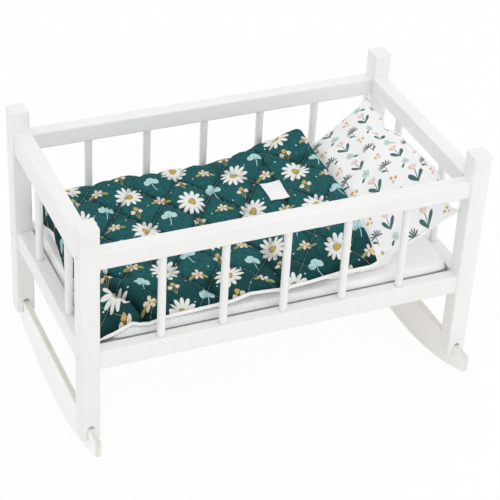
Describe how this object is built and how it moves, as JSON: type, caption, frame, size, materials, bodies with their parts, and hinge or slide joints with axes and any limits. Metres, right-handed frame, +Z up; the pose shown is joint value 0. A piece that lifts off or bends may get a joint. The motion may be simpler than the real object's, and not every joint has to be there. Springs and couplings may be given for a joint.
{
  "type": "doll cradle",
  "caption": "Rocking doll cradle in white painted wood with slatted sides, two curved rockers, and a mattress, pillow and diamond quilt that lift out.",
  "frame": {"origin": "on the floor under the middle of the cradle, where the flat middle step of each rocker's arc touches it", "axes": "+X along the cradle towards the head end, +Y from the front side to the back side, +Z up"},
  "size_m": [0.52, 0.35, 0.3445],
  "materials": {
    "white_paint": "satin white paint over solid wood",
    "rocker_paint": "satin white paint over plywood",
    "bare_wood": "planed, unpainted",
    "screw_steel": "zinc plated, painted over at the head",
    "mattress_cotton": "white waffle cotton",
    "pillow_cotton": "white cotton with a print of sprigs",
    "quilt_cotton": "dark teal printed cotton, sewn in diamonds"
  },
  "bodies": {
    "frame": {"base_board": "bare_wood", "batten_back": "bare_wood", "batten_front": "bare_wood", "dowel_back_foot_lower": "bare_wood", "dowel_back_foot_top": "bare_wood", "dowel_back_head_lower": "bare_wood", "dowel_back_head_top": "bare_wood", "dowel_front_foot_lower": "bare_wood", "dowel_front_foot_top": "bare_wood", "dowel_front_head_lower": "bare_wood", "dowel_front_head_top": "bare_wood", "lower_rail_back": "white_paint", "lower_rail_foot": "white_paint", "lower_rail_front": "white_paint", "lower_rail_head": "white_paint", "post_back_foot": "white_paint", "post_back_head": "white_paint", "post_front_foot": "white_paint", "post_front_head": "white_paint", "rocker_foot": "rocker_paint", "rocker_head": "rocker_paint", "screw_back_foot_lower": "screw_steel", "screw_back_foot_top": "screw_steel", "screw_back_head_lower": "screw_steel", "screw_back_head_top": "screw_steel", "screw_front_foot_lower": "screw_steel", "screw_front_foot_top": "screw_steel", "screw_front_head_lower": "screw_steel", "screw_front_head_top": "screw_steel", "spindle_back_1": "white_paint", "spindle_back_2": "white_paint", "spindle_back_3": "white_paint", "spindle_back_4": "white_paint", "spindle_back_5": "white_paint", "spindle_foot_1": "white_paint", "spindle_foot_2": "white_paint", "spindle_front_1": "white_paint", "spindle_front_2": "white_paint", "spindle_front_3": "white_paint", "spindle_front_4": "white_paint", "spindle_front_5": "white_paint", "spindle_head_1": "white_paint", "spindle_head_2": "white_paint", "top_rail_back": "white_paint", "top_rail_foot": "white_paint", "top_rail_front": "white_paint", "top_rail_head": "white_paint"},
    "mattress": {"mattress": "mattress_cotton"},
    "pillow": {"pillow": "pillow_cotton"},
    "quilt": {"quilt": "quilt_cotton"}
  },
  "joints": [
    {"name": "mattress_lift", "type": "slide", "parent": "frame", "child": "mattress", "axis": [0, 0, 1], "range_m": [0, 0.19]},
    {"name": "pillow_lift", "type": "slide", "parent": "mattress", "child": "pillow", "axis": [0, 0, 1], "range_m": [0, 0.165]},
    {"name": "quilt_lift", "type": "slide", "parent": "pillow", "child": "quilt", "axis": [0, 0, 1], "range_m": [0, 0.165]}
  ]
}
